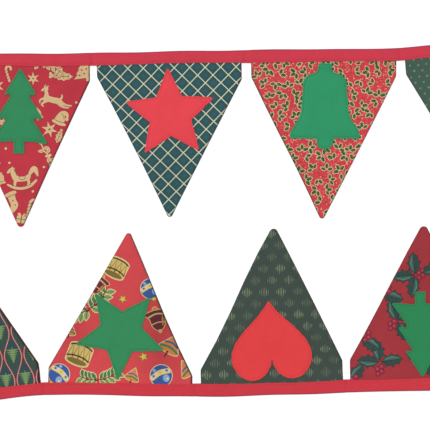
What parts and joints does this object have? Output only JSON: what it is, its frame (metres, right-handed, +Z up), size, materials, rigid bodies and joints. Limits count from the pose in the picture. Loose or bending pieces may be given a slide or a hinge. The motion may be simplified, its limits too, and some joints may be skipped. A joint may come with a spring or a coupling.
{
  "type": "fabric bunting",
  "caption": "Festive cloth bunting laid back on itself in a U: two-layer printed pennants with felt shapes, their top edges held in one folded tape.",
  "frame": {"origin": "middle of the whole outline, on the surface that the bunting lies on", "axes": "+Z up from that surface; +X along the two straight stretches of tape, away from the turn that joins them; +Y from the lower stretch to the upper one"},
  "size_m": [0.9376, 0.4264, 0.0051],
  "materials": {
    "tape": "plain-weave cotton bias strip, folded, matt",
    "red_print": "printed quilting cotton, red ground, matt",
    "wine_print": "printed quilting cotton, wine-red ground, matt",
    "green_print": "printed quilting cotton, dark green ground, matt",
    "green_backing": "plain dark green cotton, matt",
    "red_backing": "plain dark red cotton, matt",
    "green_felt": "flat craft felt, green, matt and slightly fuzzy",
    "red_felt": "flat craft felt, red, matt and slightly fuzzy"
  },
  "bodies": {
    "root": {"tape": "tape", "back_dot": "red_backing", "front_dot": "green_print", "shape_dot": "red_felt", "back_leaf": "green_backing", "front_leaf": "red_print", "shape_leaf": "green_felt", "back_lattice": "red_backing", "front_lattice": "green_print", "shape_lattice": "red_felt", "back_gold": "green_backing", "front_gold": "red_print", "shape_gold": "green_felt", "back_ogee": "red_backing", "front_ogee": "green_print", "shape_ogee": "red_felt", "back_parcel": "green_backing", "front_parcel": "red_print", "shape_parcel": "green_felt", "back_dash": "red_backing", "front_dash": "green_print", "shape_dash": "red_felt", "back_sprig": "green_backing", "front_sprig": "wine_print", "shape_sprig": "green_felt"}
  },
  "joints": []
}
